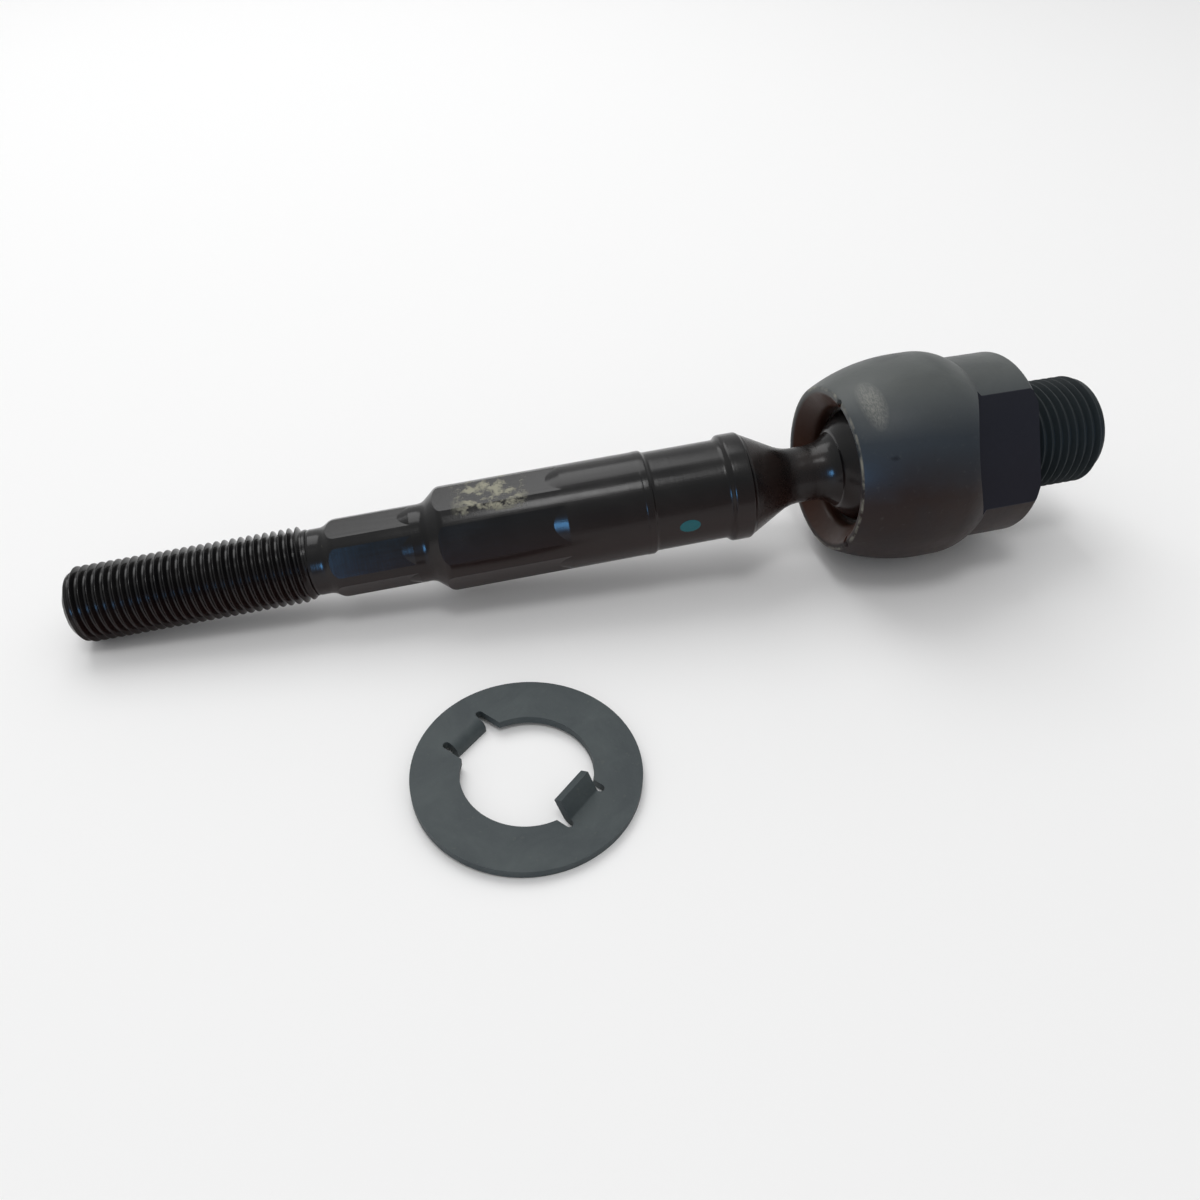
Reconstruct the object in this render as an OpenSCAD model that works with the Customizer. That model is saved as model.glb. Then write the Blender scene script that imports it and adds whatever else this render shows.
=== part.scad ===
// Inner tie rod with its lock washer, lying as in the photograph.
// +X runs along the socket housing towards the rack stud, +Z is up.
// The origin is the centre of the housing's shoulder face. Sizes are in mm.

/* [Socket housing] */

// diameter of the round housing body
body_d = 33.4; // [28:0.1:42]

// how far the reduced end next to the rack lies inside the body
end_step = 1.8; // [0.5:0.1:4]

// length of the reduced end beside the shoulder face
end_len = 4.2; // [2:0.1:7]

// distance from the shoulder face back to the ball centre
ball_to_face = 21.4; // [19:0.1:26]

// distance from the ball centre forward to the rim of the mouth
ball_to_rim = 9.8; // [9:0.1:14]

// outside diameter of the rim
rim_d = 26.6; // [23:0.1:28]

// radius of the curve that draws the body in towards the rim
rim_curve_r = 30; // [20:0.5:60]

// width of the worn edge around the mouth
rim_edge = 0.9; // [0.2:0.1:2]

// how far the lip that keeps the ball in reaches inside the ball's radius
lip_hold = 0.9; // [0.5:0.1:2]

// height of the chamfer on the housing's end edge
end_chamfer = 1.3; // [0.3:0.1:3]

// distance across the two wrench flats
flats_af = 24; // [19:0.5:28]

// distance from the ball centre forward to the start of the wrench flats
flats_from_ball = 7.8; // [7.2:0.1:12]

// radius of the cutter that left the curved end of each flat
flats_cutter_r = 17; // [12:0.5:40]

// turn of the flats about the housing axis, from level
flats_turn = 30; // [0:1:90]

/* [Rack stud] */

// major diameter of the rack thread
stud_d = 18; // [14:1:24]

// length of the stud from the shoulder face
stud_len = 15.2; // [10:0.1:26]

// pitch of the rack thread, which sets the chamfer at its end
stud_pitch = 1.5; // [1:0.25:2]

/* [Ball and seat] */

// diameter of the ball
ball_d = 21; // [16:0.1:26]

// thickness of the resin seat beside the ball
seat_wall = 2.2; // [1.5:0.1:4]

// running clearance on each curved face of the seat
seat_gap = 0.05; // [0.02:0.01:0.1]

/* [Rod] */

// distance from the ball centre to the end of the outer thread
rod_len = 129.5; // [100:0.5:180]

// diameter of the neck behind the ball
neck_d = 9.0; // [7:0.1:12]

// diameter of the collar
collar_d = 17.3; // [14:0.1:22]

// width of the collar with its chamfers
collar_w = 4.2; // [2:0.1:8]

// diameter of the boot seat
boot_seat_d = 16.0; // [12:0.1:20]

// length of the boot seat
boot_seat_len = 11.5; // [6:0.1:20]

// diameter of the thick part of the rod
thick_d = 16.7; // [13:0.1:22]

// distance across the large hexagon flats
large_af = 15.6; // [12:0.1:20]

// length of the round stretch between the boot seat and the large hexagon
round_len = 15.6; // [8:0.1:30]

// length of the large hexagon at the middle of a flat
large_hex_len = 17.1; // [8:0.1:30]

// diameter of the thin part of the rod
thin_d = 12.4; // [10:0.1:16]

// distance across the small hexagon flats
small_af = 11.5; // [9:0.1:15]

// length of the small hexagon at the middle of a flat
small_hex_len = 10.4; // [6:0.1:24]

// slope of the cones where the hexagon flats run out
run_out_deg = 14; // [8:1:30]

/* [Outer thread] */

// major diameter of the outer thread
rod_thread_d = 12; // [10:1:18]

// length of the outer thread
rod_thread_len = 35.2; // [20:0.1:60]

// pitch of the outer thread, which sets its chamfer and undercut
rod_thread_pitch = 1.25; // [1:0.25:2]

/* [Lock washer] */

// outside diameter of the washer
washer_d = 31.8; // [26:0.1:42]

// thickness of the washer
washer_t = 1.3; // [0.8:0.1:2.5]

// clearance of the washer hole around the rack stud
washer_gap = 0.2; // [0.1:0.05:0.6]

// width of each tab
tab_w = 5.9; // [4:0.1:9]

// height of the raised tab above the washer
tab_up = 2.9; // [1.5:0.1:5]

// lean of the raised tab towards the middle of the hole
tab_lean = 30; // [0:1:45]

// how far the other tab reaches below the washer
tab_down = 0.8; // [0.2:0.1:3]

/* [Rest pose] */

// sideways bend of the rod at the ball joint
rod_yaw = 4.8; // [-12:0.1:12]

// distance of the washer in front of the ball centre, along the housing
washer_ahead = 67.7; // [40:0.1:90]

// distance of the washer to the side of the housing axis
washer_side = 35.3; // [25:0.1:60]

// direction of the raised tab, seen from above
tab_turn = -51; // [-180:1:180]

/* [Hidden] */
$fn = 96;
eps = 0.01;

body_r = body_d / 2;
end_r = body_r - end_step;
stud_r = stud_d / 2;
ball_r = ball_d / 2;
ball_x = -ball_to_face;
rim_x = ball_x - ball_to_rim;
floor_z = -body_r;

// the rim curve ends where it is level with the round body
rim_r = rim_d / 2;
curve_x = rim_x + sqrt(rim_curve_r * rim_curve_r - pow(rim_curve_r - body_r + rim_r, 2));
mouth_r = rim_r - rim_edge;
// the body steps down to the reduced end in an even S-shaped shoulder
step_run = 3.6;
step_drop = end_step / 2;
step_curve_r = (step_run * step_run + step_drop * step_drop) / (2 * step_drop);
step_end_x = -end_len;
step_mid_x = step_end_x - step_run;
step_start_x = step_mid_x - step_run;

// the resin seat and the pocket that holds it
seat_bore_r = ball_r + seat_gap;
seat_r = ball_r + seat_wall;
pocket_r = seat_r + seat_gap;
lip_r = ball_r - lip_hold;
lip_clear = 0.5;
seat_front = sqrt(seat_bore_r * seat_bore_r - (lip_r - lip_clear) * (lip_r - lip_clear));
seat_back = 0.6 * ball_r;
pocket_front_x = ball_x - seat_front - seat_gap;
pocket_back_x = ball_x + seat_back + seat_gap;
lip_len = 1.8;
funnel_x = pocket_front_x - lip_len;
dome_r = ball_r + 0.8;
dome_deg = acos((seat_back + seat_gap) / dome_r);

// length of a wrench flat at its middle, from its start to the shoulder face
flats_len = ball_to_face - flats_from_ball;

// the rack thread
stud_chamfer = 0.75 * stud_pitch;

// stations along the rod, counted from the ball centre
neck_r = neck_d / 2;
collar_r = collar_d / 2;
boot_r = boot_seat_d / 2;
thick_r = thick_d / 2;
thin_r = thin_d / 2;
large_in = large_af / 2;
small_in = small_af / 2;
rod_thread_r = rod_thread_d / 2;
flare_curve_r = 6;
flare_u = ball_r - 2.2;
flare_r = sqrt(ball_r * ball_r - flare_u * flare_u);
flare_angle = acos(1 - (flare_r - neck_r) / flare_curve_r);
neck_start = ball_r + 1.9;
neck_end = neck_start + 2;
cone_deg = 28.7;
cone_curve_r = 7;
cone_foot_u = neck_end + cone_curve_r * sin(cone_deg);
cone_foot_r = neck_r + cone_curve_r * (1 - cos(cone_deg));
collar_edge = 0.35;
collar_start = cone_foot_u + (collar_r - collar_edge - cone_foot_r) / tan(cone_deg);
collar_end = collar_start + collar_w;
boot_end = collar_end + boot_seat_len;
thick_start = boot_end + 0.5;
// the low ridge that was raised beside the boot seat
ridge_up = 0.05;
large_run = (thick_r - large_in) / tan(run_out_deg);
large_hex_start = thick_start + round_len;
large_hex_end = large_hex_start + large_hex_len;
large_cone_end = large_hex_end + (thick_r - thin_r) / tan(40);
thread_start = rod_len - rod_thread_len;
undercut_r = rod_thread_r - 0.61 * rod_thread_pitch;
undercut_start = thread_start - 3.8;
small_run = (thin_r - small_in) / tan(run_out_deg);
small_hex_end = undercut_start - (thin_r - undercut_r) / tan(31);
small_hex_start = small_hex_end - small_hex_len;
rod_chamfer = 0.9 * rod_thread_pitch;

// the rod droops until the edge of its thread end meets the floor
droop_u = rod_len - rod_chamfer;
droop_r = sqrt(droop_u * droop_u + rod_thread_r * rod_thread_r);
rod_pitch = asin(body_r / droop_r) - atan(rod_thread_r / droop_u);

// the washer leans slightly, held up by its lowered tab
washer_r = washer_d / 2;
washer_hole_r = stud_r + washer_gap;
bend_r = 0.3;
up_root = washer_hole_r + 0.7;
down_root = up_root + bend_r + washer_t;
washer_tilt = atan(tab_down / (washer_r + up_root));
washer_lift = washer_r * sin(washer_tilt);
notch_w = 1.1;

// round solid about +X from a closed outline of [station, radius] points
module turned(points) {
    rotate([0, 90, 0])
        rotate_extrude(angle = 360)
            mirror([1, 0])
                rotate([0, 0, 90])
                    polygon(points);
}

// hexagonal bar along +X between two stations, with one flat facing up
module hex_bar(start, end, af) {
    translate([start, 0, 0])
        rotate([90, 0, 90])
            linear_extrude(height = end - start)
                circle(r = af / 2 / cos(30), $fn = 6);
}

// puts the rod's own axis, which starts at the ball centre, in its rest pose
module rod_pose() {
    translate([ball_x, 0, 0])
        rotate([0, rod_pitch, 180 - rod_yaw])
            children();
}

// puts the washer's own plane on the floor, raised tab towards +X
module washer_pose() {
    translate([ball_x - washer_ahead, -washer_side, floor_z + washer_lift])
        rotate([0, 0, tab_turn])
            rotate([0, washer_tilt, 0])
                children();
}

// outline of the housing above its axis, in stations from the origin
module housing_outline() {
    // drawn-in front, curving to the rim
    intersection() {
        translate([rim_x, 0])
            square([curve_x - rim_x, body_d]);
        translate([curve_x, body_r - rim_curve_r])
            circle(r = rim_curve_r, $fn = 360);
    }
    // full round body
    translate([curve_x, 0])
        square([step_start_x - curve_x, body_r]);
    // convex half of the shoulder
    translate([step_start_x, 0])
        square([step_run, body_r - step_curve_r]);
    intersection() {
        translate([step_start_x, body_r - step_curve_r])
            square([step_run, body_r]);
        translate([step_start_x, body_r - step_curve_r])
            circle(r = step_curve_r, $fn = 180);
    }
    // concave half of the shoulder
    difference() {
        translate([step_mid_x, 0])
            square([step_run, body_r - step_drop]);
        translate([step_end_x, end_r + step_curve_r])
            circle(r = step_curve_r, $fn = 180);
    }
    // reduced end with its chamfer
    polygon([
        [step_end_x, 0],
        [step_end_x, end_r],
        [-end_chamfer * 0.8, end_r],
        [0, end_r - end_chamfer],
        [0, 0]
    ]);
}

// one wrench flat, cut on the side that faces +Y before it is turned
module flat_cut() {
    translate([-flats_len, flats_af / 2, 0])
        intersection() {
            translate([0, 0, -body_r])
                cube([flats_len + 1, body_r, body_d]);
            union() {
                translate([flats_cutter_r, 0, 0])
                    rotate([-90, 0, 0])
                        cylinder(h = body_r, r = flats_cutter_r, $fn = 180);
                translate([flats_cutter_r, 0, -body_r])
                    cube([flats_len + 1, body_r, body_d]);
            }
        }
}

// forged housing with the rack stud, the wrench flats and the ball pocket
module socket_housing() {
    color([0.16, 0.18, 0.2])
        difference() {
            union() {
                rotate([0, 90, 0])
                    rotate_extrude(angle = 360)
                        mirror([1, 0])
                            rotate([0, 0, 90])
                                housing_outline();
                turned([
                    [-1, 0],
                    [-1, stud_r],
                    [stud_len - stud_chamfer, stud_r],
                    [stud_len, stud_r - stud_chamfer],
                    [stud_len, 0]
                ]);
            }
            // ball pocket, lip hole and the funnel of the mouth
            turned([
                [rim_x - 1, 0],
                [rim_x - 1, mouth_r + (mouth_r - lip_r) / (funnel_x - rim_x)],
                [funnel_x, lip_r],
                [pocket_front_x, lip_r],
                [pocket_front_x, pocket_r],
                [pocket_back_x, pocket_r],
                for (i = [0 : 12])
                    [ball_x + dome_r * cos(dome_deg * (1 - i / 12)), dome_r * sin(dome_deg * (1 - i / 12))]
            ]);
            for (side = [0, 180])
                rotate([180 - flats_turn + side, 0, 0])
                    flat_cut();
        }
}

// resin seat around the ball, turning in the housing pocket
module ball_seat() {
    color([0.12, 0.12, 0.12])
        difference() {
            translate([ball_x - seat_front, 0, 0])
                rotate([0, 90, 0])
                    cylinder(h = seat_front + seat_back, r = seat_r);
            translate([ball_x, 0, 0])
                sphere(r = seat_bore_r);
        }
}

// rod, neck and ball turned from one forging, with two hexagons
module tie_rod() {
    color([0.07, 0.07, 0.08])
        rod_pose() {
            // the ball, with its poles on the rod's axis
            rotate([0, 90, 0])
                sphere(r = ball_r);
            difference() {
                rotate([0, 90, 0])
                    rotate_extrude(angle = 360)
                        mirror([1, 0])
                            rotate([0, 0, 90])
                                rod_outline();
                hex_cut(large_hex_start, large_run, large_cone_end, large_in, thick_r);
                hex_cut(small_hex_start, small_run, undercut_start + 0.5, small_in, thin_r);
            }
        }
}

// outline of the rod above its axis, in stations from the ball centre
module rod_outline() {
    // the flare out of the ball and the curve up to the cone, as slopes in degrees
    flare = [for (i = [0 : 7]) flare_angle * (1 - i / 7)];
    foot = [for (i = [0 : 7]) cone_deg * i / 7];
    polygon(concat([
        [flare_u - 4, 0],
        [flare_u - 4, flare_r]
    ], [
        for (a = flare) [
            neck_start - flare_curve_r * sin(a),
            neck_r + flare_curve_r * (1 - cos(a))
        ]
    ], [
        for (a = foot) [
            neck_end + cone_curve_r * sin(a),
            neck_r + cone_curve_r * (1 - cos(a))
        ]
    ], [
        [collar_start, collar_r - collar_edge],
        [collar_start + 0.4, collar_r],
        [collar_end - 0.9, collar_r],
        [collar_end - 0.4, boot_r + 0.1],
        [collar_end, boot_r],
        [boot_end, boot_r],
        [thick_start, thick_r + ridge_up],
        [thick_start + 1.0, thick_r + ridge_up],
        [thick_start + 1.2, thick_r],
        [large_hex_end, thick_r],
        [large_cone_end, thin_r],
        [small_hex_end, thin_r],
        [undercut_start, undercut_r],
        [thread_start - 0.6, undercut_r],
        [thread_start, rod_thread_r - 0.1],
        [thread_start + 0.1, rod_thread_r],
        [rod_len - rod_chamfer, rod_thread_r],
        [rod_len, rod_thread_r - rod_chamfer],
        [rod_len, 0]
    ]));
}

// metal taken off a round bar to leave a hexagon with rounded corners,
// whose flats run out in a cone towards the ball
module hex_cut(start, run, end, inside_r, bar_r) {
    slope = tan(run_out_deg);
    difference() {
        translate([start - run - 1, 0, 0])
            rotate([0, 90, 0])
                cylinder(h = end - start + run + 1, r = bar_r + 1);
        hex_bar(start - run - 2, end + 1, 2 * inside_r);
        turned([
            [start - run - 2, 0],
            [start - run - 2, bar_r + 2 * slope],
            [start + 1, inside_r - slope],
            [start + 1, 0]
        ]);
    }
}

// side outline of a tab that bends up by turn and then runs on straight
module tab_outline(turn, straight) {
    reach = 4 * (washer_t + bend_r);
    // short flat start inside the ring
    square([0.6, washer_t]);
    translate([0, washer_t + bend_r])
        intersection() {
            difference() {
                circle(r = washer_t + bend_r, $fn = 90);
                circle(r = bend_r, $fn = 60);
            }
            polygon([
                [0, 0],
                [0, -reach],
                [-reach * sin(turn / 2), -reach * cos(turn / 2)],
                [-reach * sin(turn), -reach * cos(turn)]
            ]);
        }
    translate([0, washer_t + bend_r])
        rotate(-turn)
            translate([-straight, -washer_t - bend_r])
                square([straight + eps, washer_t]);
}

// a tab on the +X side of the washer, rooted at the given distance
module tab(root, turn, straight) {
    translate([root, tab_w / 2, 0])
        rotate([90, 0, 0])
            linear_extrude(height = tab_w)
                tab_outline(turn, straight);
}

// room for one tab and its relief notches on the +X side of the hole
module tab_room(root) {
    half = tab_w / 2 + notch_w;
    translate([0, -half, -1])
        cube([root, 2 * half, washer_t + 2]);
    for (side = [-1, 1])
        translate([root, side * (tab_w + notch_w) / 2, -1])
            cylinder(h = washer_t + 2, r = notch_w / 2);
}

// flat ring with a hole for the stud, tab notches and the two bent tabs
module lock_washer() {
    color([0.3, 0.32, 0.33])
        washer_pose() {
            difference() {
                cylinder(h = washer_t, r = washer_r, $fn = 180);
                translate([0, 0, -1])
                    cylinder(h = washer_t + 2, r = washer_hole_r, $fn = 120);
                tab_room(up_root);
                rotate([0, 0, 180])
                    tab_room(down_root);
            }
            tab(up_root, 90 - tab_lean, tab_up / cos(tab_lean) - bend_r);
            translate([0, 0, washer_t])
                rotate([180, 0, 180])
                    tab(down_root, 90, tab_down - bend_r);
        }
}

socket_housing();
ball_seat();
tie_rod();
lock_washer();
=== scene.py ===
import bpy
import math
from mathutils import Matrix, Vector


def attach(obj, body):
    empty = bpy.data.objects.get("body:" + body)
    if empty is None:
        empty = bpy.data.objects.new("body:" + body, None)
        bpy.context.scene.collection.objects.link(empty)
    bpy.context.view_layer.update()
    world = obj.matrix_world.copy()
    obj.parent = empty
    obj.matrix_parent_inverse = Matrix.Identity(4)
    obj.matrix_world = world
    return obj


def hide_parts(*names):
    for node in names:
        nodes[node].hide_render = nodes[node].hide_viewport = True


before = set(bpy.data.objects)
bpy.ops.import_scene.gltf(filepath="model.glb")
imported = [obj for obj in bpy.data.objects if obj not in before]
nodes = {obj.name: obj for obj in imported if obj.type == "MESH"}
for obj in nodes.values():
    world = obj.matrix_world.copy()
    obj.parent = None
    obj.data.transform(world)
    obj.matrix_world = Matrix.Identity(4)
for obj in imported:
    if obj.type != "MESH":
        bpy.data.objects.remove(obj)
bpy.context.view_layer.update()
print("frame loaded")

# the rod's axis starts at the ball and runs to the thread end; its values repeat the model's
rodPose = {
    "ball": Vector((-0.0214, 0.0, 0.0)),
    "yaw": 4.8,
    "pitch": 4.7905,
}
rodMatrix = (
    Matrix.Translation(rodPose["ball"])
    @ Matrix.Rotation(math.radians(180 - rodPose["yaw"]), 4, "Z")
    @ Matrix.Rotation(math.radians(rodPose["pitch"]), 4, "Y")
)

# camera where the photographer's was, worked out from both axes and the outline
cameraSet = {
    "place": (-0.10201, -0.12019, 0.09492),
    "heading": (0.26473, 0.96432),
    "pitchDown": 42.614,
    "lens": 30.102,
    "sensor": 36,
    "clipStart": 0.005,
}


def placeCamera():
    ahead = Vector((*cameraSet["heading"], 0)).normalized()
    down = math.radians(cameraSet["pitchDown"])
    look = ahead * math.cos(down) - Vector((0, 0, math.sin(down)))
    bpy.ops.object.camera_add(location=cameraSet["place"])
    camera = bpy.context.object
    camera.name = "photoCamera"
    camera.rotation_mode = "QUATERNION"
    camera.rotation_quaternion = look.to_track_quat("-Z", "Y")
    camera.data.sensor_width = cameraSet["sensor"]
    camera.data.lens = cameraSet["lens"]
    camera.data.clip_start = cameraSet["clipStart"]
    bpy.context.scene.camera = camera


placeCamera()
print("camera placed")


class Wire:
    # one socket of a material, with maths on it written as plain expressions
    def __init__(self, tree, socket):
        self.tree = tree
        self.socket = socket

    def maths(self, operation, first, second=None, clamp=False):
        node = self.tree.nodes.new("ShaderNodeMath")
        node.operation = operation
        node.use_clamp = clamp
        for index, value in enumerate((first, second)):
            if isinstance(value, Wire):
                self.tree.links.new(value.socket, node.inputs[index])
            elif value is not None:
                node.inputs[index].default_value = value
        return Wire(self.tree, node.outputs[0])

    def __add__(self, other):
        return self.maths("ADD", self, other)

    def __sub__(self, other):
        return self.maths("SUBTRACT", self, other)

    def __rsub__(self, other):
        return self.maths("SUBTRACT", other, self)

    def __mul__(self, other):
        return self.maths("MULTIPLY", self, other)

    def __truediv__(self, other):
        return self.maths("DIVIDE", self, other)

    def __pow__(self, other):
        return self.maths("POWER", self, other)

    def clamped(self):
        return self.maths("ADD", self, 0.0, True)

    def size(self):
        return self.maths("ABSOLUTE", self)


class Finish:
    # a material with one Principled surface and one way to add any other node
    def __init__(self, name, **constants):
        self.material = bpy.data.materials.new(name)
        self.material.use_nodes = True
        self.tree = self.material.node_tree
        self.surface = self.tree.nodes["Principled BSDF"]
        for socket, value in constants.items():
            self.surface.inputs[socket.replace("_", " ")].default_value = value

    def add(self, kind, settings=None, sockets=None, output=0):
        node = self.tree.nodes.new(kind)
        for key, value in (settings or {}).items():
            setattr(node, key, value)
        for key, value in (sockets or {}).items():
            if isinstance(value, Wire):
                self.tree.links.new(value.socket, node.inputs[key])
            else:
                node.inputs[key].default_value = value
        return Wire(self.tree, node.outputs[output])

    def feed(self, socket, wire):
        self.tree.links.new(wire.socket, self.surface.inputs[socket])

    def place(self):
        # Object coordinates, in metres
        return self.add("ShaderNodeTexCoord", output=3)

    def along(self, matrix):
        # the place on the piece in the frame of matrix, in metres
        inverse = matrix.inverted()
        return self.add("ShaderNodeMapping", {"vector_type": "POINT"}, {
            "Vector": self.place(),
            "Location": inverse.to_translation(),
            "Rotation": inverse.to_euler(),
            "Scale": (1, 1, 1),
        })

    def stretched(self, vector, scale, turn=(0, 0, 0)):
        # a place to lay streaks on, longest where the scale is smallest
        return self.add("ShaderNodeMapping", None, {
            "Vector": vector, "Rotation": turn, "Scale": scale,
        })

    def parts(self, vector):
        node = self.tree.nodes.new("ShaderNodeSeparateXYZ")
        self.tree.links.new(vector.socket, node.inputs[0])
        return [Wire(self.tree, node.outputs[index]) for index in range(3)]

    def noise(self, vector, scale, detail, rough, warp=0.0):
        return self.add("ShaderNodeTexNoise", None, {
            "Vector": vector, "Scale": scale, "Detail": detail,
            "Roughness": rough, "Distortion": warp,
        })

    def ramp(self, value, low, high):
        # 0 at low and 1 at high, whichever of the two is larger
        return self.add("ShaderNodeMapRange", {"clamp": True}, {
            "Value": value, "From Min": low, "From Max": high,
            "To Min": 0.0, "To Max": 1.0,
        })

    def blend(self, factor, first, second):
        node = self.tree.nodes.new("ShaderNodeMix")
        node.data_type = "RGBA"
        for index, value in ((0, factor), (6, first), (7, second)):
            if isinstance(value, Wire):
                self.tree.links.new(value.socket, node.inputs[index])
            else:
                node.inputs[index].default_value = value
        return Wire(self.tree, node.outputs[2])

    def bump(self, height, distance, strength):
        return self.add("ShaderNodeBump", None, {
            "Height": height, "Distance": distance, "Strength": strength,
        })


def clearSelection():
    if bpy.context.object and bpy.context.object.mode != "OBJECT":
        bpy.ops.object.mode_set(mode="OBJECT")
    bpy.ops.object.select_all(action="DESELECT")


def pick(piece):
    clearSelection()
    piece.select_set(True)
    bpy.context.view_layer.objects.active = piece


def applyModifier(piece, kind, **settings):
    pick(piece)
    modifier = piece.modifiers.new(kind.lower(), kind)
    for key, value in settings.items():
        setattr(modifier, key, value)
    bpy.ops.object.modifier_apply(modifier=modifier.name)


def drawLine(name, points):
    # one vertex, extruded from point to point; x is the station and z the radius
    clearSelection()
    start = Vector((points[0][0], 0, points[0][1]))
    bpy.ops.mesh.primitive_plane_add(size=0.001, location=start)
    line = bpy.context.object
    line.name = name
    bpy.ops.object.transform_apply(location=True, rotation=True, scale=True)
    bpy.ops.object.mode_set(mode="EDIT")
    bpy.ops.mesh.select_all(action="SELECT")
    bpy.ops.mesh.merge(type="CENTER")
    for before, after in zip(points, points[1:]):
        step = (after[0] - before[0], 0, after[1] - before[1])
        bpy.ops.mesh.extrude_region_move(TRANSFORM_OT_translate={"value": step})
    bpy.ops.object.mode_set(mode="OBJECT")
    return line


def arcPoints(centre, radius, first, last, steps):
    # points on a circle, by angle in degrees from the +station direction
    result = []
    for step in range(steps + 1):
        angle = math.radians(first + (last - first) * step / steps)
        result.append((centre[0] + radius * math.cos(angle), centre[1] + radius * math.sin(angle)))
    return result


def softened(points, steps=8):
    # a point is (station, radius) or (station, radius, corner); a corner becomes a short arc
    result = []
    for index, point in enumerate(points):
        here = Vector(point[:2])
        corner = point[2] if len(point) > 2 else 0
        if not corner or index in (0, len(points) - 1):
            result.append(here)
            continue
        back = Vector(points[index - 1][:2]) - here
        ahead = Vector(points[index + 1][:2]) - here
        # two corners on one short edge don't meet
        reach = min(corner, 0.45 * back.length, 0.45 * ahead.length)
        first = here + back.normalized() * reach
        last = here + ahead.normalized() * reach
        for step in range(steps + 1):
            t = step / steps
            result.append(first * (1 - t) ** 2 + here * 2 * t * (1 - t) + last * t * t)
    return [tuple(point) for point in result]


def turnRound(line, steps):
    # spins the outline about the X axis into a closed solid
    pick(line)
    bpy.ops.object.mode_set(mode="EDIT")
    bpy.ops.mesh.select_all(action="SELECT")
    bpy.ops.mesh.spin(steps=steps, angle=math.tau, center=(0, 0, 0), axis=(1, 0, 0),
                      dupli=False, use_auto_merge=True)
    bpy.ops.mesh.select_all(action="SELECT")
    bpy.ops.mesh.remove_doubles(threshold=0.0000005)
    bpy.ops.mesh.normals_make_consistent(inside=False)
    bpy.ops.object.mode_set(mode="OBJECT")
    return line


def shadeByAngle(piece, degrees):
    pick(piece)
    bpy.ops.object.shade_smooth_by_angle(angle=math.radians(degrees))


def joinPieces(first, *others):
    pick(first)
    for other in others:
        other.select_set(True)
    bpy.ops.object.join()
    return first


def cutWith(piece, cutter):
    applyModifier(piece, "BOOLEAN", operation="DIFFERENCE", object=cutter, solver="EXACT")
    bpy.data.objects.remove(cutter)


def settle(piece, matrix=None):
    # puts a piece made along X in its place, with the place in the mesh
    pick(piece)
    if matrix:
        piece.data.transform(matrix)
    bpy.ops.object.transform_apply(location=True, rotation=True, scale=True)


def finishPiece(piece, body, slot, material, *stoodFor):
    piece.data.materials.clear()
    piece.data.materials.append(material)
    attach(piece, body)
    if stoodFor:
        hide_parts(*stoodFor)


# one turn of thread from root to root: place and height above the root, both in pitches
threadShape = {
    "depth": 0.6134,
    "turn": [
        (0.0, 0.0), (0.19, 0.02), (0.23, 0.06), (0.50, 0.5684), (0.535, 0.6054), (0.5625, 0.6134),
        (0.59, 0.6054), (0.625, 0.5684), (0.90, 0.06), (0.94, 0.02), (1.0, 0.0),
    ],
    "turnsBefore": 1.5,
    "turnsSpare": 3,
}


def cutThread(name, values):
    # a right-hand thread along X: one turn, screwed on and then held inside its envelope
    pitch, outer = values["pitch"], values["outer"]
    start, end = values["start"], values["end"]
    chamfer, fade, neck = values["chamfer"], values["fade"], values["neck"]
    root = outer - threadShape["depth"] * pitch
    first = start - threadShape["turnsBefore"] * pitch
    turns = math.ceil((end - start) / pitch) + threadShape["turnsSpare"]
    thread = drawLine(name, [
        (first + place * pitch, root + height * pitch) for place, height in threadShape["turn"]
    ])
    applyModifier(thread, "SCREW", axis="X", angle=math.tau, screw_offset=pitch,
                  iterations=turns, steps=values["steps"], render_steps=values["steps"],
                  use_merge_vertices=True, merge_threshold=0.000002)
    tip = outer - chamfer
    for vertex in thread.data.vertices:
        x, y, z = vertex.co
        radius = math.hypot(y, z)
        limit = outer
        if x > end - chamfer:
            limit = tip + max(0.0, end - x)
        if x < start + fade:
            limit = min(limit, neck + max(0.0, x - start) * (outer - neck) / fade)
        keep = min(radius, limit)
        # turns past either end fold into its flat face
        if x > end:
            keep, x = tip * max(0.0, 1 - (x - end) / pitch), end
        if x < start:
            keep, x = neck * max(0.0, 1 - (start - x) / pitch), start
        vertex.co = (x, y * keep / radius, z * keep / radius)
    pick(thread)
    bpy.ops.object.mode_set(mode="EDIT")
    bpy.ops.mesh.select_all(action="SELECT")
    bpy.ops.mesh.remove_doubles(threshold=0.000003)
    bpy.ops.mesh.dissolve_degenerate(threshold=0.000002)
    bpy.ops.mesh.normals_make_consistent(inside=False)
    bpy.ops.object.mode_set(mode="OBJECT")
    return thread


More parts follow.
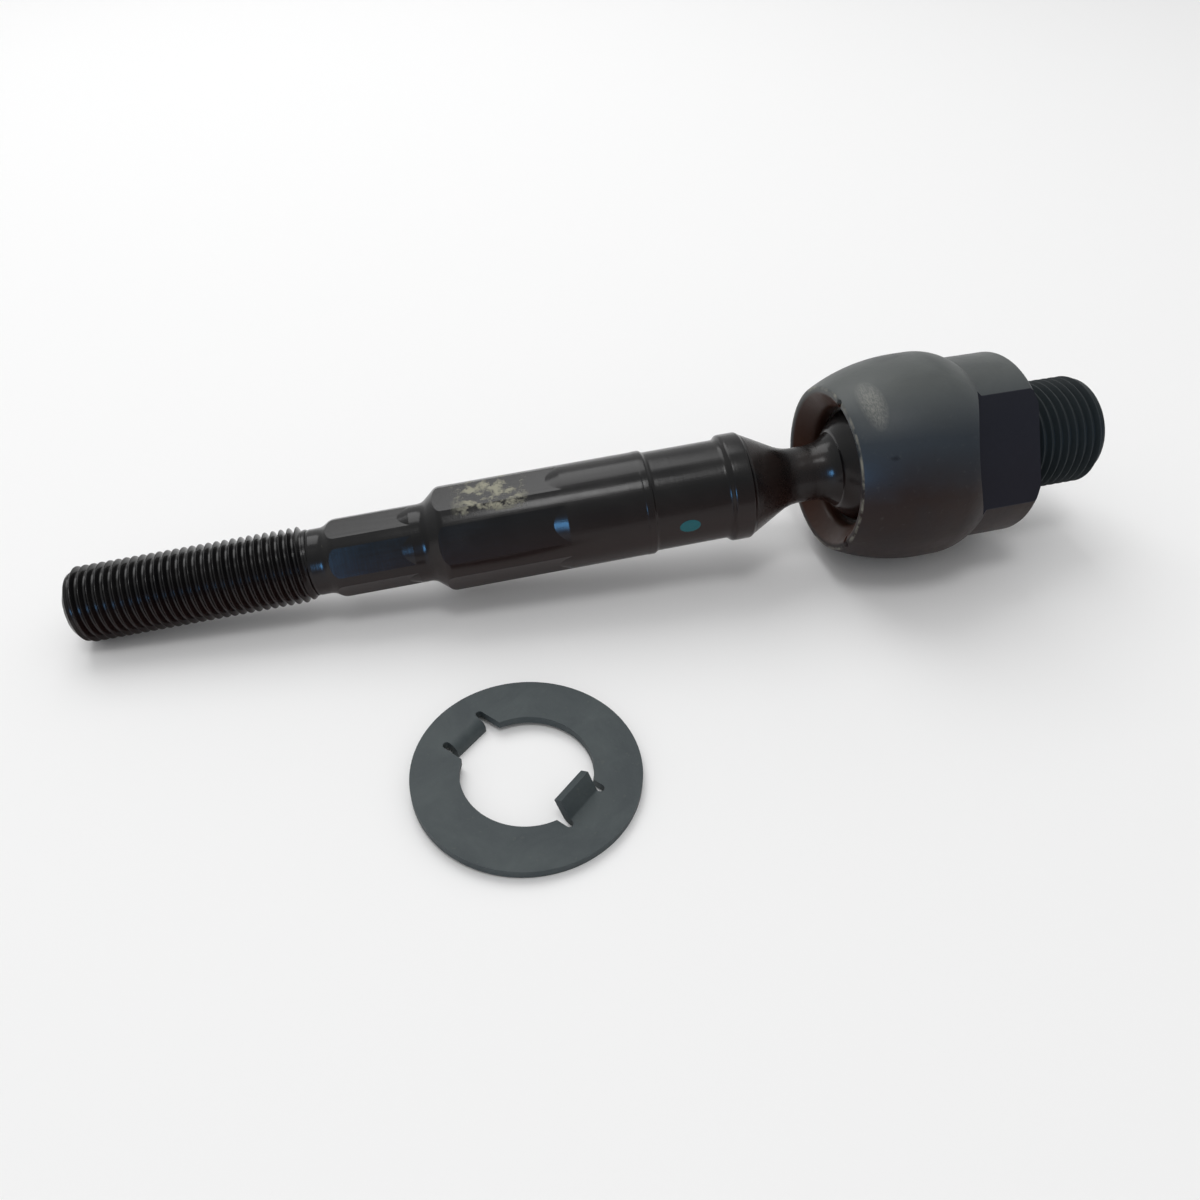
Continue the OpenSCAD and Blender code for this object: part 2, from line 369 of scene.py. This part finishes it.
# tie rod, in metres from the ball centre along its own axis
rodSet = {
    "steps": 144,
    "ball": 0.0105,
    "ballArc": (180, 41, 46),
    "ballFoot": (0.0083, 0.00643, 0.0012),
    "neck": 0.0045,
    "neckStart": 0.0124,
    "neckEnd": 0.0144,
    "flareCurve": 0.006,
    "flareSlope": 42,
    "coneCurve": 0.007,
    "coneSlope": 28.7,
    "curveSteps": 12,
    # station, radius and corner, from the collar to the thread's start
    "turned": [
        (0.02313, 0.0083, 0.0003), (0.02353, 0.00865, 0.0004), (0.02643, 0.00865, 0.0005),
        (0.02693, 0.0081, 0.0003), (0.02733, 0.0080, 0.0003), (0.03883, 0.0080, 0.0003),
        (0.03933, 0.0084, 0.0002), (0.04033, 0.0084, 0.0002), (0.04053, 0.00835, 0.0002),
        (0.05, 0.00835), (0.06, 0.00835), (0.07203, 0.00835, 0.0006), (0.07459, 0.0062, 0.0008),
        (0.0889, 0.0062, 0.0006), (0.0905, 0.0052375, 0.0006), (0.0925, 0.0052375),
        (0.0930, 0.0051), (0.0930, 0.0),
    ],
    # start of the flats, length of their run-out, end, half across flats, bar radius
    "hexagons": [
        (0.05493, 0.0022, 0.0746, 0.0078, 0.00835),
        (0.0785, 0.0018, 0.0911, 0.00575, 0.0062),
    ],
    "runOutSlope": 14,
    "cutterSpare": 0.002,
    "cutterSides": 96,
    "thread": {
        "pitch": 0.00125, "outer": 0.006, "start": 0.0929, "end": 0.1295,
        "chamfer": 0.001125, "fade": 0.0014, "neck": 0.0052, "steps": 72,
    },
    "smoothTo": 11,
}


def rodAlong(sides, radius, length, middle, name):
    # a plain prism along X, used as a cutter
    clearSelection()
    bpy.ops.mesh.primitive_cylinder_add(vertices=sides, radius=radius, depth=length,
                                        location=(middle, 0, 0), rotation=(0, math.pi / 2, 0))
    prism = bpy.context.object
    prism.name = name
    bpy.ops.object.transform_apply(location=True, rotation=True, scale=True)
    return prism


def hexCutter(start, run, end, inside, bar):
    # a sleeve with a hexagonal bore whose flats run out in a cone
    spare = rodSet["cutterSpare"]
    back = start - run - spare / 2
    middle, length = (back + end) / 2, end - back
    sleeve = rodAlong(rodSet["cutterSides"], bar + spare, length, middle, "hexSleeve")
    corner = inside / math.cos(math.pi / 6)
    bore = rodAlong(6, corner, length + spare * 2, middle, "hexBore")
    highest = max(bore.data.vertices, key=lambda vertex: vertex.co.z).co
    # a corner points up, so the bore is turned by half a flat
    if abs(highest.y) < corner * 0.1:
        bore.data.transform(Matrix.Rotation(math.radians(30), 4, "X"))
    cutWith(sleeve, bore)
    slope = math.tan(math.radians(rodSet["runOutSlope"]))
    cone = turnRound(drawLine("runOut", [
        (back - spare / 2, 0), (back - spare / 2, bar + spare * slope),
        (start + spare / 2, inside - spare / 2 * slope), (start + spare / 2, 0),
    ]), rodSet["steps"])
    cutWith(sleeve, cone)
    return sleeve


def buildRod():
    neck, flare, cone = rodSet["neck"], rodSet["flareCurve"], rodSet["coneCurve"]
    points = arcPoints((0, 0), rodSet["ball"], *rodSet["ballArc"])
    points.append(rodSet["ballFoot"])
    points += arcPoints((rodSet["neckStart"], neck + flare), flare,
                        270 - rodSet["flareSlope"], 270, rodSet["curveSteps"])
    points += arcPoints((rodSet["neckEnd"], neck + cone), cone,
                        270, 270 + rodSet["coneSlope"], rodSet["curveSteps"])
    points += rodSet["turned"]
    rod = turnRound(drawLine("tieRodDressed", softened(points)), rodSet["steps"])
    for hexagon in rodSet["hexagons"]:
        cutWith(rod, hexCutter(*hexagon))
    joinPieces(rod, cutThread("rodThread", rodSet["thread"]))
    settle(rod, rodMatrix)
    shadeByAngle(rod, rodSet["smoothTo"])
    return rod


rod = buildRod()
print("tie rod built", len(rod.data.polygons), "faces")

# socket housing, in metres from the shoulder face
housingSet = {
    "steps": 160,
    "ball": -0.0214,
    "dome": 0.0113,
    "pocket": 0.01275,
    "pocketBack": -0.01505,
    "pocketFront": -0.02679,
    "lip": 0.0096,
    "lipEnd": -0.02859,
    "mouth": 0.0124,
    "rim": 0.0133,
    "rimPlace": -0.0312,
    "rimCurve": 0.030,
    "rimShare": 0.95,
    "body": 0.0167,
    "curveEnd": -0.01733,
    "shoulderCurve": 0.009,
    "shoulderStart": -0.0153,
    "shoulderEnd": -0.0099,
    "shoulderShare": 0.93,
    "end": 0.0149,
    "chamfer": (0.00104, 0.0013),
    "corners": {"lip": 0.0008, "mouth": 0.0004, "rim": 0.0006, "shoulder": 0.0007, "end": 0.0004},
    # half across the flats, their start, the radius of the cutter and the size of its block
    "flats": {
        "half": 0.012, "start": -0.0136, "cutter": 0.017, "turns": (150, 330),
        "across": 0.0158, "past": 0.0012, "depth": 0.008,
    },
    "stakes": {
        "place": -0.0314, "turns": (94, 214, 334), "radius": 0.0011, "tip": 0.000385,
        "length": 0.0030, "lift": 0.0004, "lean": 128, "sides": 18,
    },
    "thread": {
        "pitch": 0.0015, "outer": 0.009, "start": -0.0003, "end": 0.0152,
        "chamfer": 0.001125, "fade": 0.0006, "neck": 0.0083, "steps": 96,
    },
    "smoothTo": 12,
}


def flatCutter(turn):
    # a block above the flat, whose inner end is the curve that the cutter left
    flats = housingSet["flats"]
    across, past = flats["across"], flats["past"]
    sweep = math.degrees(math.asin(across / flats["cutter"]))
    outline = arcPoints((flats["start"] + flats["cutter"], 0), flats["cutter"],
                        180 - sweep, 180 + sweep, 48)
    cutter = drawLine("flatCutter", outline + [(past, -across), (past, across)])
    pick(cutter)
    bpy.ops.object.mode_set(mode="EDIT")
    bpy.ops.mesh.select_all(action="SELECT")
    bpy.ops.mesh.edge_face_add()
    bpy.ops.mesh.extrude_region_move(TRANSFORM_OT_translate={"value": (0, flats["depth"], 0)})
    bpy.ops.mesh.select_all(action="SELECT")
    bpy.ops.mesh.normals_make_consistent(inside=False)
    bpy.ops.object.mode_set(mode="OBJECT")
    cutter.data.transform(Matrix.Translation((0, flats["half"], 0)))
    cutter.data.transform(Matrix.Rotation(math.radians(turn), 4, "X"))
    return cutter


def stakeTool(turn):
    # a blunt wedge that dents the rim where the ball was staked in
    stakes = housingSet["stakes"]
    clearSelection()
    bpy.ops.mesh.primitive_cone_add(vertices=stakes["sides"], radius1=stakes["radius"],
                                    radius2=stakes["tip"], depth=stakes["length"],
                                    location=(stakes["place"], 0,
                                              housingSet["mouth"] + stakes["lift"]),
                                    rotation=(0, math.radians(stakes["lean"]), 0))
    tool = bpy.context.object
    tool.name = "stakeTool"
    bpy.ops.object.transform_apply(location=True, rotation=True, scale=True)
    tool.data.transform(Matrix.Rotation(math.radians(turn - 90), 4, "X"))
    return tool


def buildHousing():
    values = housingSet
    corners, body = values["corners"], values["body"]
    pocketAngle = math.acos((values["pocketBack"] - values["ball"]) / values["dome"])
    points = arcPoints((values["ball"], 0), values["dome"], 0, math.degrees(pocketAngle), 10)
    points += [
        (values["pocketBack"], values["pocket"]),
        (values["pocketFront"], values["pocket"]),
        (values["pocketFront"], values["lip"]),
        (values["lipEnd"], values["lip"], corners["lip"]),
        (values["rimPlace"], values["mouth"], corners["mouth"]),
        (values["rimPlace"], values["rim"], corners["rim"]),
    ]
    # drawn-in front, an arc that is level where it meets the round body
    curve, end = values["rimCurve"], values["curveEnd"]
    swing = math.degrees(math.asin((end - values["rimPlace"]) / curve))
    points += arcPoints((end, body - curve), curve, 90 + swing * values["rimShare"], 90, 22)
    # rounded shoulder, then the reduced end with its chamfer
    curve, start = values["shoulderCurve"], values["shoulderStart"]
    swing = math.degrees(math.asin((values["shoulderEnd"] - start) / curve))
    points += arcPoints((start, body - curve), curve, 90, 90 - swing * values["shoulderShare"], 16)
    run, drop = values["chamfer"]
    points += [
        (values["shoulderEnd"], values["end"], corners["shoulder"]),
        (-run, values["end"], corners["end"]),
        (0, values["end"] - drop, corners["end"]),
        (0, 0),
    ]
    housing = turnRound(drawLine("socketHousingDressed", softened(points)), values["steps"])
    for turn in values["flats"]["turns"]:
        cutWith(housing, flatCutter(turn))
    for turn in values["stakes"]["turns"]:
        cutWith(housing, stakeTool(turn))
    joinPieces(housing, cutThread("studThread", values["thread"]))
    settle(housing)
    shadeByAngle(housing, values["smoothTo"])
    return housing


housing = buildHousing()
print("socket housing built", len(housing.data.polygons), "faces")

# floor and light
stageSet = {
    "floorZ": -0.0167,
    "floorColour": (0.93, 0.93, 0.93, 1),
    "floorSize": 40,
    "worldBright": 0.72,
    "worldDark": 0.42,
    "worldSlope": 0.75,
    "worldLevel": 0.35,
    "aim": (-0.07, 0, 0),
    # name, place, size, power and colour; the blue window only glints and doesn't tint the floor
    "lamps": (
        ("backSoftbox", (-0.15, 0.45, 0.60), 0.5, 2.0, (1, 1, 1)),
        ("overheadSoftbox", (-0.10, -0.15, 0.80), 0.18, 0.9, (1, 1, 1)),
        ("blueWindow", (-0.53, -0.73, 0.26), 0.20, 2.4, (0.16, 0.50, 1.0)),
    ),
}


def layFloor():
    clearSelection()
    bpy.ops.mesh.primitive_plane_add(size=stageSet["floorSize"],
                                     location=(0, 0, stageSet["floorZ"]))
    floor = bpy.context.object
    floor.name = "floor"
    finish = Finish("floorPaint", Base_Color=stageSet["floorColour"], Roughness=0.6,
                    Specular_IOR_Level=0.1)
    floor.data.materials.append(finish.material)


def lightWorld():
    # brighter behind the part and overhead, dimmer behind the camera
    world = bpy.data.worlds.new("studio")
    bpy.context.scene.world = world
    world.use_nodes = True
    tree = world.node_tree
    coords = tree.nodes.new("ShaderNodeTexCoord")
    split = tree.nodes.new("ShaderNodeSeparateXYZ")
    tree.links.new(coords.outputs["Generated"], split.inputs[0])
    back = Wire(tree, split.outputs[1])
    height = Wire(tree, split.outputs[2])
    bright, dark, slope = stageSet["worldBright"], stageSet["worldDark"], stageSet["worldSlope"]
    lit = (back * slope + height * slope + stageSet["worldLevel"]).clamped()
    level = lit * lit * (bright - dark) + dark
    background = tree.nodes["Background"]
    background.inputs["Color"].default_value = (1, 1, 1, 1)
    tree.links.new(level.socket, background.inputs["Strength"])


def hangLamps():
    for name, place, size, power, colour in stageSet["lamps"]:
        bpy.ops.object.light_add(type="AREA", location=place)
        lamp = bpy.context.object
        lamp.name = name
        lamp.data.shape = "SQUARE"
        lamp.data.size = size
        lamp.data.energy = power
        lamp.data.color = colour
        lamp.visible_diffuse = name != "blueWindow"
        lamp.rotation_mode = "QUATERNION"
        look = Vector(stageSet["aim"]) - Vector(place)
        lamp.rotation_quaternion = look.to_track_quat("-Z", "Y")


layFloor()
lightWorld()
hangLamps()
print("stage set")

housingCoat = {
    # painted light on the top of the housing
    "paintedLitTop": (0.082, 0.090, 0.088, 1),
    "blueSlate": (0.026, 0.034, 0.044, 1),
    # painted shade with a painted brown reflection, for the underside
    "paintedShadeAndReflection": (0.014, 0.0045, 0.003, 1),
    "stain": (0.012, 0.015, 0.021, 1),
    "speck": (0.085, 0.09, 0.085, 1),
    "flat": (0.0065, 0.007, 0.015, 1),
    "mouth": (0.052, 0.022, 0.014, 1),
    "bareRim": (0.24, 0.235, 0.20, 1),
    "rubbed": (0.26, 0.26, 0.235, 1),
    "rubbedPlace": (-0.0275, -0.0040),
    "spot": (0.004, 0.004, 0.006, 1),
    # place and reach of the two dark spots
    "spots": ((-0.02656, -0.01208, 0.0093, 0.0006), (-0.02755, -0.01376, 0.00574, 0.0003)),
    "stud": (0.017, 0.023, 0.026, 1),
}


def coatHousing():
    coat, flats = housingCoat, housingSet["flats"]
    finish = Finish("darkForgedCoat", Base_Color=(0.03, 0.034, 0.036, 1), Roughness=0.42,
                    Specular_IOR_Level=0.24)
    place = finish.place()
    x, y, z = finish.parts(place)
    radius = (y * y + z * z) ** 0.5
    cloud = finish.noise(place, 110, 4, 0.55, 0.4)
    grain = finish.noise(place, 900, 3, 0.6)
    rough = cloud * 0.18 + grain * 0.10 + 0.30
    # painted light, lighter on top; the coat's own bluer tone in front; painted shade with a
    # painted brown reflection, darker and browner underneath
    slope = z + y * 0.6 + (cloud - 0.5) * 0.006
    colour = finish.blend(finish.ramp(slope, 0.0145, 0.0045), coat["paintedLitTop"], coat["blueSlate"])
    colour = finish.blend(finish.ramp(slope, 0.0030, -0.0065), colour, coat["paintedShadeAndReflection"])
    colour = finish.blend(finish.ramp(cloud, 0.45, 0.75) * 0.35, colour, coat["stain"])
    colour = finish.blend(finish.ramp(grain, 0.62, 0.80) * 0.2, colour, coat["speck"])
    # machined flats, darker and bluer, found by their plane and by the cutter's curve
    turn, half, cutter = math.radians(flats["turns"][0]), flats["half"], flats["cutter"]
    away = (y * math.cos(turn) + z * math.sin(turn)).size()
    along = z * math.cos(turn) - y * math.sin(turn)
    ahead = x - (flats["start"] + cutter)
    fromCutter = (ahead * ahead + along * along) ** 0.5
    flat = finish.ramp(away, half - 0.00010, half - 0.00004)
    flat = flat * finish.ramp(away, half + 0.00012, half + 0.00006)
    flat = flat * finish.ramp(fromCutter, cutter + 0.00012, cutter)
    colour = finish.blend(flat * 0.92, colour, coat["flat"])
    # brown, greasy mouth
    inside = finish.ramp(radius, 0.0126, 0.0121) * finish.ramp(x, -0.0255, -0.0262)
    colour = finish.blend(inside, colour, coat["mouth"])
    rough = rough - inside * 0.1
    # bright rim where the coat is rubbed off
    edge = finish.ramp(x, -0.03098, -0.03112) * finish.ramp(radius, 0.01275, 0.0130)
    edge = edge * finish.ramp(finish.noise(place, 420, 4, 0.65), 0.42, 0.62)
    colour = finish.blend(edge * 0.85, colour, coat["bareRim"])
    # rubbed patch above the mouth, in short streaks
    streaks = finish.noise(finish.stretched(place, (5200, 1500, 1500), (0, 0, 0.2)), 1.0, 5, 0.75)
    rubX, rubY = coat["rubbedPlace"]
    rubbed = ((x - rubX) * 620) ** 2 + ((y - rubY) * 250) ** 2
    rubbed = finish.ramp(rubbed, 1.5, 0.0) * finish.ramp(z, 0.008, 0.011)
    rubbed = rubbed * (finish.ramp(streaks, 0.42, 0.66) * 0.8 + 0.2)
    colour = finish.blend(rubbed * 0.8, colour, coat["rubbed"])
    rough = rough - rubbed * 0.08
    for spotX, spotY, spotZ, reach in coat["spots"]:
        gone = (((x - spotX) * 0.7) ** 2 + (y - spotY) ** 2 + ((z - spotZ) * 1.5) ** 2) ** 0.5
        gone = gone + finish.noise(place, 900, 4, 0.7) * 0.0015
        gone = finish.ramp(gone, reach + 0.0009, reach + 0.0003)
        colour = finish.blend(gone * 0.7, colour, coat["spot"])
    # rack thread, black-green
    colour = finish.blend(finish.ramp(x, 0.00002, 0.00006), colour, coat["stud"])
    finish.feed("Base Color", colour)
    finish.feed("Roughness", rough)
    finish.feed("Normal", finish.bump(cloud + grain * 0.5, 0.00012, 0.5))
    return finish.material


rodCoat = {
    "black": (0.0035, 0.0035, 0.004, 1),
    "faded": (0.009, 0.0085, 0.0085, 1),
    # painted brown reflection for the front and underside
    "paintedBrownReflection": (0.015, 0.0048, 0.0036, 1),
    # forge-brown tone, also laid underneath the neck and cone as a painted brown reflection
    "forged": (0.030, 0.015, 0.011, 1),
    "scuff": (0.33, 0.32, 0.24, 1),
    "dot": (0.002, 0.10, 0.12, 1),
    "dotPlace": (0.03392, 0.0001),
    "dotSize": (0.0017, 0.00115),
}


def coatRod():
    coat = rodCoat
    finish = Finish("glossyBlackCoat", Base_Color=(0.005, 0.005, 0.006, 1), Roughness=0.25,
                    Specular_IOR_Level=0.30)
    place = finish.along(rodMatrix)
    u, y, z = finish.parts(place)
    grain = finish.noise(place, 1100, 3, 0.6)
    cloud = finish.noise(place, 170, 3, 0.5, 0.5)
    # turning marks around the rod, and scores along it
    rings = finish.noise(finish.stretched(place, (5200, 60, 60)), 1.0, 2, 0.5)
    scores = finish.noise(finish.stretched(place, (140, 3200, 3200)), 1.0, 2, 0.5)
    colour = finish.blend(finish.ramp(cloud, 0.35, 0.75), coat["black"], coat["faded"])
    # painted brown reflection, warmer towards the camera and underneath
    colour = finish.blend(finish.ramp(y - z, 0.000, 0.009) * 0.9, colour, coat["paintedBrownReflection"])
    # neck and cone as they came from the forge, brown and uneven, without scores; browner
    # underneath, where a painted brown reflection lies
    forged = finish.ramp(u, 0.0096, 0.0112) * finish.ramp(u, 0.0233, 0.0228)
    brown = finish.ramp(cloud, 0.40, 0.62) * 0.25 + finish.ramp(z, 0.001, -0.005) * 0.5
    colour = finish.blend(forged * brown, colour, coat["forged"])
    scores = scores * (1 - forged)
    # scuffs on the top flat of the large hexagon, and a few elsewhere
    top = finish.ramp(u, 0.0575, 0.0600) * finish.ramp(u, 0.0700, 0.0672)
    top = top * finish.ramp(z, 0.0070, 0.0074)
    scuffed = top * finish.ramp(finish.noise(place, 330, 5, 0.7), 0.50, 0.60)
    strayed = finish.ramp(finish.noise(place, 520, 5, 0.75, 1.2), 0.71, 0.78) * 0.35
    colour = finish.blend((scuffed * 0.8 + strayed).clamped(), colour, coat["scuff"])
    # turquoise inspection dot on the boot seat
    (dotU, dotZ), (dotLong, dotHigh) = coat["dotPlace"], coat["dotSize"]
    dot = (((u - dotU) / dotLong) ** 2 + ((z - dotZ) / dotHigh) ** 2) ** 0.5
    dot = finish.ramp(dot + cloud * 0.08, 1.06, 0.98) * finish.ramp(y, 0.004, 0.005)
    colour = finish.blend(dot, colour, coat["dot"])
    rough = cloud * 0.10 + grain * 0.06 + scores * 0.10 + 0.08
    rough = rough + forged * 0.11 + scuffed * 0.35 + dot * 0.2
    height = rings * 0.08 + scores * 0.08 + forged * cloud * 2.2 + dot * 0.5 + grain * 0.03
    finish.feed("Base Color", colour)
    finish.feed("Roughness", rough)
    finish.feed("Normal", finish.bump(height, 0.00016, 0.5))
    return finish.material


washerCoat = {
    "dark": (0.030, 0.041, 0.045, 1),
    "pale": (0.053, 0.067, 0.069, 1),
    "speck": (0.10, 0.105, 0.09, 1),
}


def coatWasher():
    finish = Finish("greyPhosphate", Base_Color=(0.035, 0.042, 0.041, 1), Roughness=0.66)
    place = finish.place()
    cloud = finish.noise(place, 130, 4, 0.6, 0.6)
    grain = finish.noise(place, 1300, 3, 0.65)
    colour = finish.blend(finish.ramp(cloud, 0.35, 0.70), washerCoat["dark"], washerCoat["pale"])
    colour = finish.blend(finish.ramp(grain, 0.62, 0.78) * 0.35, colour, washerCoat["speck"])
    finish.feed("Base Color", colour)
    finish.feed("Roughness", cloud * 0.12 + grain * 0.12 + 0.50)
    finish.feed("Normal", finish.bump(cloud * 0.4 + grain, 0.00008, 0.5))
    return finish.material


seatCoat = {
    "resin": (0.008, 0.007, 0.006, 1),
    "grease": (0.026, 0.018, 0.014, 1),
}


def coatSeat():
    finish = Finish("greasyResin", Base_Color=(0.012, 0.011, 0.010, 1), Roughness=0.3)
    place = finish.place()
    film = finish.noise(place, 300, 3, 0.5, 0.5)
    finish.feed("Base Color", finish.blend(film, seatCoat["resin"], seatCoat["grease"]))
    finish.feed("Roughness", film * 0.3 + 0.15)
    return finish.material


def dressNode(name, material):
    nodes[name].data.materials.clear()
    nodes[name].data.materials.append(material)


finishPiece(rod, "rod", "rod_coat", coatRod(), "tie_rod")
finishPiece(housing, "socket", "housing_coat", coatHousing(), "socket_housing")
dressNode("ball_seat", coatSeat())
dressNode("lock_washer", coatWasher())
print("finishes applied")

bpy.context.scene.view_settings.view_transform = "Standard"
